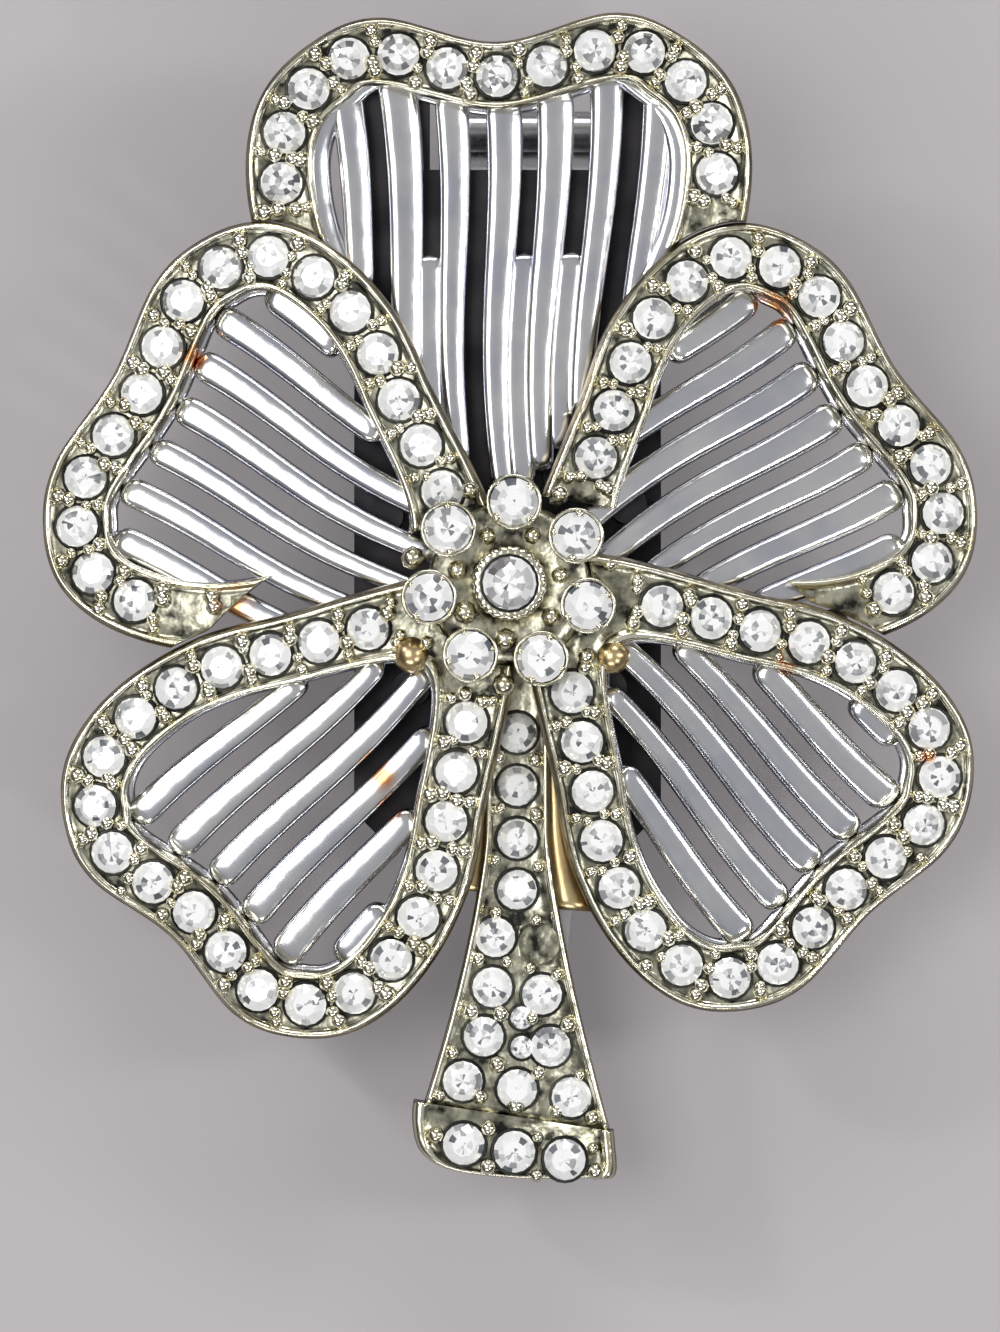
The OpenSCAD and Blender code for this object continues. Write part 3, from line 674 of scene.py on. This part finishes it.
def bead(radius, around=8):
    """(points, faces) of a low dome with a flat foot."""
    turn = np.arange(around) * 2 * math.pi / around
    rings = [np.stack([radius * c * np.cos(turn), radius * c * np.sin(turn), np.full(around, radius * z)], 1)
             for c, z in ((0.9, -0.6), (1, 0), (0.8, 0.6))]
    points = np.vstack(rings + [[(0, 0, radius)]])
    faces = [list(range(around))[::-1]]
    for r in range(2):
        for k in range(around):
            n = (k + 1) % around
            faces.append([r * around + k, r * around + n, (r + 1) * around + n, (r + 1) * around + k])
    faces += [[2 * around + k, 2 * around + (k + 1) % around, 3 * around] for k in range(around)]
    return points, faces


def grains(name, places, to_ornament, radius=0.46, stray=0.09, finish=pale_gold):
    """One piece of many beads, each of slightly different size and a little out of its place. Beads of
    1 mm and more are rounder."""
    solids = []
    for place in places:
        points, faces = bead(radius * dice.uniform(0.65, 1.1), 8 if radius < 1 else 20)
        solids.append((points + place + (*dice.normal(0, stray, 2), 0), faces))
    points, faces = join(solids)
    piece(name, to_ornament(points), faces, [finish], slot="frame_metal")


for name, petal in PETALS.items():
    at, steps = stone_line(petal)
    middle = steps[:-1] + STONE_PITCH / 2
    here, ahead = at(middle), at(middle + 0.1) - at(middle - 0.1)
    ahead /= np.linalg.norm(ahead, axis=1)[:, None]
    aside = np.stack([-ahead[:, 1], ahead[:, 0]], 1)
    outer, inner = aside * GRAIN_OUT, aside * GRAIN_IN + ahead * GRAIN_SHIFT
    side = np.vstack([here + outer, here - outer, here + inner, here - inner])
    flat = np.vstack([side, side * (1, -1)])
    flat = flat[free_places(name, flat, 0.5)]
    places = np.column_stack([flat, np.full(len(flat), BAND_T + 0.12)])
    grains(f"{name}_grains", places, partial(lay, petal))

# ---- Stem --------------------------------------------------------------------------------------------
# A cast channel that flares towards its foot, with lips along both sides, seats for one to three stones
# a row and walls down to the bridge. One seat of the fifth row has lost its stone. Strips of browned
# solder run along both walls.
STEM_X = 0.4
STEM_START, STEM_END = 4.2, 27.95
STEM_HALF, FLARE, FLARE_START, FLARE_RUN = 1.7, 3.4, 13, 15.7
STEM_FLOOR = 3.0
STEM_STEPS = 60
SLANT = 0.15
# each row's distance from the hub, number of stones, and distance between them
STEM_ROWS = [(7.8, 1, 0), (10.6, 1, 0), (13.35, 1, 0), (16.05, 1, 0), (18.7, 2, 2.3), (21.35, 2, 2.6),
             (24, 2, 3.5), (26.5, 3, 2.85)]
# the row and the place in it of the lost stone, and the places of two small ones
LOST = (4, 1)
SMALL = [(0.25, -22.75), (0.25, -24.3)]
STEM_STONE_D, SMALL_D = 2.1, 1.2
browned_gold = plating("browned_gold", (0.76, 0.61, 0.33, 1), (0.5, 0.34, 0.18, 1),
                       rough=0.3, uneven=0.1, waves=500, clouds=500)


def stem_half(d):
    """Half width of the stem at a distance from the hub: straight, then flaring as a power of 1.4."""
    return STEM_HALF + FLARE * np.maximum(0, (d - FLARE_START) / FLARE_RUN) ** 1.4


def slanted(x, d):
    """Height in the plan of a point of the stem, which falls to the right more and more towards the foot."""
    return -d - SLANT * x * (d - STEM_START) / (STEM_END - STEM_START)


# (share of the half width, fixed distance added in mm, height): the left half, from the outer foot inwards
stem_side = [(-1, 0, 0.5), (-1, -0.02, 1.8), (-1, 0, 2.9), (-1, 0.04, 3.2), (-1, 0.14, 3.3), (-1, 0.26, 3.3),
             (-1, 0.38, 3.18), (-1, 0.46, 3.03), (-0.5, 0.2, 2.97)]
stem_ring = stem_side + [(0, 0, 2.95)] + [(-a, -b, z) for a, b, z in stem_side[::-1]]
stem_ring += [(1, -0.42, 0.5), (1, -0.42, 1.6), (-1, 0.42, 1.6), (-1, 0.42, 0.5)]
share, fixed, high = np.array(stem_ring).T
rings = []
for d in np.linspace(STEM_START, STEM_END, STEM_STEPS):
    x = share * stem_half(d) + fixed
    rings.append(np.column_stack([x + STEM_X, slanted(x, d), high]))
points, faces = loft(rings)
# the finish of each strip round the ring: wall in painted shade, lip, dark channel, lip, and wall and
# underside in painted shade
parts = ([2] * 3 + [1] * 4 + [0] * 4 + [1] * 4 + [2] * 8) * (STEM_STEPS - 1) + [1, 1]
stem = piece("stem_trough", points, faces, [dark_seat, pale_gold, shade_painted_gold], slot="frame_metal", parts=parts)


def row_places():
    """The (row, place in it) and the position of each stone of the stem. The rows fall to the right."""
    for number, (d, count, apart) in enumerate(STEM_ROWS):
        for k in range(count):
            x = (k - (count - 1) / 2) * apart
            yield (number, k), (x + STEM_X, -d - SLANT * x, STEM_FLOOR + STONE_UP)


# the empty seat is a flat pit, as wide as its stone was
places = dict(row_places())
empty = disc(STEM_STONE_D / 2 + 0.02, 24) + places.pop(LOST)[:2]
trim(stem, [prism(empty, 2.05, 4)])
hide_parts("stem_channel")

seated = list(places.values())
small = [(x + STEM_X, y, STEM_FLOOR + STONE_UP) for x, y in SMALL]
set_stones("stem_brilliants", np.array(seated + small), 0.05,
           [STEM_STONE_D] * len(seated) + [SMALL_D] * len(small), as_drawn, "stem_stones")

# a pair of grains after each single stone, and a row of them between the wider rows
beads = []
bead_z = STEM_FLOOR + 0.1
for d, _, _ in STEM_ROWS[:4]:
    beads += [(STEM_X + side * 1.05, -d - 1.38 - SLANT * side, bead_z) for side in (-1, 1)]
for (d, count, _), (ahead, _, _) in zip(STEM_ROWS[4:], STEM_ROWS[5:] + [(28.2, 0, 0)]):
    between = (d + ahead) / 2
    half = float(stem_half(between)) - 0.75
    beads += [(STEM_X + x, -between - SLANT * x, bead_z) for x in np.linspace(-half, half, 2 + count)]
grains("stem_grains", np.array(beads), as_drawn)


def fillet(side, width, start, end):
    """A strip of browned solder along one side of the stem, with a sloping top. It reaches out from inside
    the wall, and width further at its end than at its start."""
    rings = []
    for d in np.linspace(start, end, 24):
        wall = stem_half(d) - 0.3
        reach = wall + 0.9 + width * (d - start) / (end - start)
        strip = [(wall, 1.7), (reach, 1.7), (reach, 2.2), ((wall + reach) / 2, 2.45), (wall, 2.6)]
        rings.append([(STEM_X + side * x, slanted(side * x, d), z) for x, z in strip])
    return loft(rings)


fillets = join([fillet(1, 1.5, 5.2, 16.9), fillet(-1, 0.9, 5.2, 16.3)])
piece("stem_fillets", *fillets, [browned_gold], slot="frame_metal")

# ---- Foot of the stem --------------------------------------------------------------------------------
# A separate cast shoe with a rounded outline, a step higher than the channel, with sides in painted shade,
# a lip round its dark top and three stones.
foot_rim = np.array([(-5.3, -26.8), (-5.5, -28.4), (-5, -29.9), (-3.4, -30.8), (0, -31.2), (3.6, -31.2),
                     (5.1, -31.1), (5.15, -29.5), (4.9, -28), (4, -27), (-4, -26.5)])
foot_line = closed_curve(foot_rim, 8)
foot_middle = np.array([0, -29.4])
count = len(foot_line)
# (height, scale about the middle) of the rings from the bottom up and over the lip
levels = [(0.5, 0.97), (0.9, 1), (2.6, 1), (3.2, 0.985), (3.42, 0.96), (3.5, 0.92), (3.44, 0.88),
          (3.3, 0.86), (3.25, 0.8)]
rings = []
for z, scale in levels:
    flat = foot_middle + (foot_line - foot_middle) * scale + (STEM_X, 0)
    rings.append(np.column_stack([flat, np.full(count, z)]))
points, faces = loft(rings)
parts = [2] * (3 * count) + [1] * (4 * count) + [0] * count + [2, 0]
foot = piece("stem_shoe", points, faces, [dark_seat, pale_gold, shade_painted_gold], slot="frame_metal", parts=parts)
# what lies above the slanting edge where the stem ends
edge = [(x + STEM_X, -STEM_END - SLANT * x) for x in (9, 4, -0.5, -5, -9)]
trim(foot, [prism(np.array([(-9, -20), (9, -20)] + edge)[::-1], -1, 9)])
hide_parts("stem_foot")
feet = np.array([(-2.8, -29.35), (-0.15, -29.75), (2.5, -30.15)]) + (STEM_X, 0)
set_stones("foot_brilliants", np.column_stack([feet, np.full(len(feet), 3.55)]), 0.08, [STONE_D] * len(feet),
           as_drawn, "foot_stones")
between = np.array([(-4.3, -29), (-1.5, -28.75), (-1.5, -30.6), (1.15, -29), (1.2, -31), (4, -29.4),
                    (4.1, -30.8)])
grains("foot_grains", np.column_stack([between + (STEM_X, 0), np.full(len(between), 3.5)]), as_drawn)

# ---- Hub and cluster ---------------------------------------------------------------------------------
# A turned boss carries seven flared cups round a taller milled bezel, each with a stone. Small claws
# are bent over the cups' stones, and drops and two browned lumps of solder fill the gaps round them.
HUB_TOP = 5.75
CUPS, CLUSTER_R, CLUSTER_D, CENTRE_D = 7, 4.25, 2.5, 2.8
# degrees: the first cup, and from a cup to the gap beside it
FIRST_CUP, TO_GAP = 87, 25.7

boss = [(0.01, 0.5), (4.05, 0.5), (4.25, 0.8), (4.3, 1.4), (4.3, 4.9), (4.22, 5.3), (4.0, 5.6), (3.4, 5.72),
        (0.01, 5.74)]
hub = piece("hub_dome", *lathe(boss, (0, 0, 0)), [dark_seat], slot="grille_metal")
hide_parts("hub_boss")


def places_round(centre, radius, height, count, first):
    """count places evenly round a centre at a radius, height above it, the first at an angle in degrees."""
    turn = math.radians(first) + np.arange(count) * 2 * math.pi / count
    return centre + np.stack([radius * np.cos(turn), radius * np.sin(turn), np.full(count, height)], 1)


r = CLUSTER_D / 2 + 0.02
cup = [(r, 0), (r + 0.12, 0), (r + 0.16, 0.5), (r + 0.19, 0.95), (r + 0.18, 1.12), (r + 0.08, 1.15),
       (r, 1.08), (r, 0.6)]
cup_feet = places_round(np.zeros(3), CLUSTER_R, HUB_TOP, CUPS, FIRST_CUP)
ring_of_cups = piece("cluster_cups_flared", *join(lathe(cup, foot, 32) for foot in cup_feet), [pale_gold],
                     slot="frame_metal")
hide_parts("cluster_cups")
set_stones("cluster_brilliants", cup_feet + (0, 0, 1.05), 0.08, [CLUSTER_D] * CUPS, as_drawn,
           "cluster_stones")
claws = [places_round(foot, 1.18, 1.2, 4, FIRST_CUP + k * 360 / CUPS + 45)
         for k, foot in enumerate(cup_feet)]
grains("cluster_claws", np.vstack(claws), as_drawn, 0.24, 0.02)
drops = [places_round(np.zeros(3), radius, height, CUPS, FIRST_CUP + TO_GAP)
         for radius, height in ((5.35, 5.35), (2.75, 5.75))]
grains("solder_drops", np.vstack(drops), as_drawn, 0.6)
grains("solder_lumps", np.array([(-5.1, -3.7, 4.9), (5.4, -3.8, 4.9)]), as_drawn, 1.15, 0, browned_gold)


def milling(angle, radius):
    """Fine upright flutes round the bezel's outside, none on its inside."""
    return np.where(radius > CENTRE_D / 2 + 0.2, 0.04 * np.cos(28 * angle), 0)


r = CENTRE_D / 2 + 0.02
bezel = [(r, 0), (r + 0.4, 0), (r + 0.43, 0.6), (r + 0.42, 0.95), (r + 0.5, 1.08), (r + 0.48, 1.25),
         (r + 0.3, 1.3), (r + 0.06, 1.36), (r, 1.3), (r, 0.7)]
collar = piece("centre_collar", *lathe(bezel, (0, 0, HUB_TOP), 168, milling), [pale_gold], slot="frame_metal")
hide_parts("centre_bezel")
set_stones("centre_brilliant", np.array([(0, 0, HUB_TOP + 1.35)]), 0.05, [CENTRE_D], as_drawn,
           "centre_stone", darker_crystal)

# ---- Bridge and clip ---------------------------------------------------------------------------------
# The bridge is near-black sheet with soldered posts, dark so that the top petal's slots show black behind
# them. Two rivets hold the clip's folded base to it. The toothed jaw, with its lever, turns on a pin
# through both, and a torsion spring closes it.
nickel = plating("nickel_sheet", (0.70, 0.70, 0.72, 1), (0.60, 0.60, 0.63, 1),
                 rough=0.26, uneven=0.08, waves=200)
# near-black, for the bridge and rivets: dark so that the top petal's slots show black behind them
near_black_metal = plating("near_black_metal", (0.045, 0.042, 0.045, 1), (0.02, 0.02, 0.022, 1),
                       rough=0.35, uneven=0.1, waves=300)
spring_steel = plating("spring_steel", (0.55, 0.55, 0.58, 1), (0.45, 0.45, 0.49, 1),
                       rough=0.3, uneven=0.08, waves=500)


def dressed(node, finish, body, width):
    """The CAD node's own shape with its edges softened by width in mm, and a plated finish."""
    mesh = bpy.data.objects[node].data.copy()
    mesh.name = f"{node}_sheet"
    mesh.materials.clear()
    mesh.materials.append(finish)
    work = bmesh.new()
    work.from_mesh(mesh)
    bmesh.ops.remove_doubles(work, verts=work.verts, dist=2e-6)
    bmesh.ops.dissolve_limit(work, angle_limit=math.radians(1), verts=work.verts, edges=work.edges)
    work.to_mesh(mesh)
    work.free()
    made = bpy.data.objects.new(f"{node}_sheet", mesh)
    bpy.context.scene.collection.objects.link(made)
    soft = made.modifiers.new("soft_edges", "BEVEL")
    soft.width, soft.segments = width * MM, 2
    soft.limit_method, soft.angle_limit = "ANGLE", math.radians(35)
    mesh.polygons.foreach_set("use_smooth", [True] * len(mesh.polygons))
    shade = made.modifiers.new("shade", "WEIGHTED_NORMAL")
    shade.keep_sharp = True
    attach(made, body)
    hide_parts(node)


dressed("back_bridge", near_black_metal, "ornament", 0.08)
dressed("clip_base", nickel, "ornament", 0.12)
dressed("clip_jaw", nickel, "jaw", 0.12)
dressed("hinge_pin", spring_steel, "ornament", 0.06)
dressed("rivets", near_black_metal, "ornament", 0.06)

WIRE_R, COIL_R, WIRE_PITCH, LEG = 0.27, 1.2, 0.6, 7


def wire(path):
    """The spring's round wire along a path: a circle square to the path at each of its points."""
    path = np.asarray(path, float)
    along = np.gradient(path, axis=0)
    along /= np.linalg.norm(along, axis=1)[:, None]
    side = np.cross(along, (1, 0, 0))
    side /= np.linalg.norm(side, axis=1)[:, None]
    up = np.cross(side, along)
    turn = np.arange(12) * math.pi / 6
    ring = side[:, None] * np.cos(turn)[:, None] + up[:, None] * np.sin(turn)[:, None]
    return loft(path[:, None] + WIRE_R * ring)


def coil(start, turns, sense, leg):
    """A helix round the hinge from x = start, and a straight leg that leaves it along its tangent. sense is
    1 or -1, the way it is wound, and leg the direction it leaves in, in degrees in the Y-Z plane."""
    leave = math.radians(leg)
    t = np.linspace(0, 1, int(turns * 28))
    a = leave + math.pi / 2 * sense - 2 * math.pi * turns * (1 - t) * sense
    x = start + WIRE_PITCH * turns * t
    helix = np.column_stack([x, HINGE_Y + COIL_R * np.cos(a), HINGE_Z + COIL_R * np.sin(a)])
    run = np.linspace(0.3, LEG, 10)[:, None]
    straight = helix[-1] + run * (0, math.cos(leave), math.sin(leave))
    return wire(np.vstack([helix, straight]))


fixed = piece("spring_turns", *coil(1.65, 5.5, 1, 1.7), [spring_steel], slot="spring_metal")
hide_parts("spring_coil")
free = piece("spring_lever_end", *coil(2.35, 1.4, -1, -22), [spring_steel], "jaw", slot="spring_metal")
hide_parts("spring_free_end")

# ---- Floor, light and camera -------------------------------------------------------------------------
# A pale matt table top, lit a little for the camera alone, and more so far off. A broad soft light above
# on the left, strips on the other sides and two small sparks give the polished metal something to mirror.
# The camera looks square on to the ornament's face.
BLACK = (0, 0, 0, 1)
near_glow, far_glow = (0.125, 0.118, 0.122, 1), (0.38, 0.358, 0.367, 1)
table = Shop("matt_table", Roughness=0.9, Specular_IOR_Level=0.1, Emission_Strength=1.0)
where = table.node("ShaderNodeTexCoord", output="Object")
away = table.node("ShaderNodeVectorMath", {"operation": "LENGTH"}, {0: where}, output="Value")
far = table.node("ShaderNodeMapRange", inputs={"Value": away, "From Min": 0.1, "From Max": 0.5})
looked_at = table.node("ShaderNodeLightPath", output="Is Camera Ray")
floor_finish = table.feed(
    Base_Color=table.blend(table.noise(30), (0.335, 0.316, 0.324, 1), (0.36, 0.341, 0.349, 1)),
    Emission_Color=table.blend(looked_at, BLACK, table.blend(far, near_glow, far_glow)),
)
bpy.ops.mesh.primitive_plane_add(size=3)
floor = bpy.context.object
floor.name = "table_top"
floor.data.materials.append(floor_finish)


class Studio(Shop):
    """The world as a shop: its one shader is the background."""

    def __init__(self, name):
        self.world = bpy.data.worlds.new(name)
        self.world.use_nodes = True
        self.tree = self.world.node_tree
        self.shader = self.tree.nodes["Background"]


# the metal mirrors a room that is dark round the sides and paler above, and the camera sees a plain wall
studio = Studio("studio")
bpy.context.scene.world = studio.world
across = studio.node("ShaderNodeTexCoord", output="Generated")
upwards = studio.node("ShaderNodeSeparateXYZ", inputs={0: across}, output="Z")
room = studio.node("ShaderNodeMapRange", inputs={
    "Value": upwards, "From Min": 0.35, "From Max": 0.9, "To Min": 0.05, "To Max": 0.4})
looked_at = studio.node("ShaderNodeLightPath", output="Is Camera Ray")
studio.plug(studio.shader.inputs["Color"], studio.blend(looked_at, room, (0.44, 0.415, 0.425, 1)))
studio.shader.inputs["Strength"].default_value = 1.0

centre = at_rest([(-0.5, -4.3, 3.0)])[0]
LIGHT_AWAY = 0.6


def soft_light(name, direction, width, height, power):
    """An area light of a width and height in metres that faces the ornament from a direction."""
    data = bpy.data.lights.new(name, "AREA")
    data.shape, data.size, data.size_y, data.energy = "RECTANGLE", width, height, power
    lamp = bpy.data.objects.new(name, data)
    way = Vector(direction).normalized()
    lamp.location = Vector(centre) + way * LIGHT_AWAY
    lamp.rotation_euler = (-way).to_track_quat("-Z", "Y").to_euler()
    bpy.context.scene.collection.objects.link(lamp)


soft_light("broad_left", (-0.42, -0.02, 1), 0.3, 0.28, 1.15)
soft_light("strip_right", (0.9, 0.1, 0.75), 0.08, 0.4, 0.9)
soft_light("strip_top", (0.1, 1.0, 0.6), 0.4, 0.08, 1.1)
soft_light("strip_low", (-0.2, -1.0, 0.6), 0.3, 0.06, 0.8)
soft_light("spark_left", (-1, 0.6, 0.8), 0.06, 0.06, 0.6)
soft_light("spark_right", (0.7, -0.8, 0.9), 0.05, 0.05, 0.5)

# the camera's distance and the height of what it sees there, in metres, and its sensor in mm
CAMERA_AWAY, SEEN, SENSOR = 0.42, 0.0699, 36
camera_data = bpy.data.cameras.new("camera")
camera_data.sensor_fit = "VERTICAL"
camera_data.sensor_height = SENSOR
camera_data.lens = SENSOR * CAMERA_AWAY / SEEN
camera_data.clip_start = 0.01
camera = bpy.data.objects.new("camera", camera_data)
bpy.context.scene.collection.objects.link(camera)
bpy.context.scene.camera = camera
camera.location = centre + np.array([0, -math.sin(LEAN), math.cos(LEAN)]) * CAMERA_AWAY
camera.rotation_euler = (LEAN, 0, 0)

bpy.context.scene.view_settings.view_transform = "Standard"
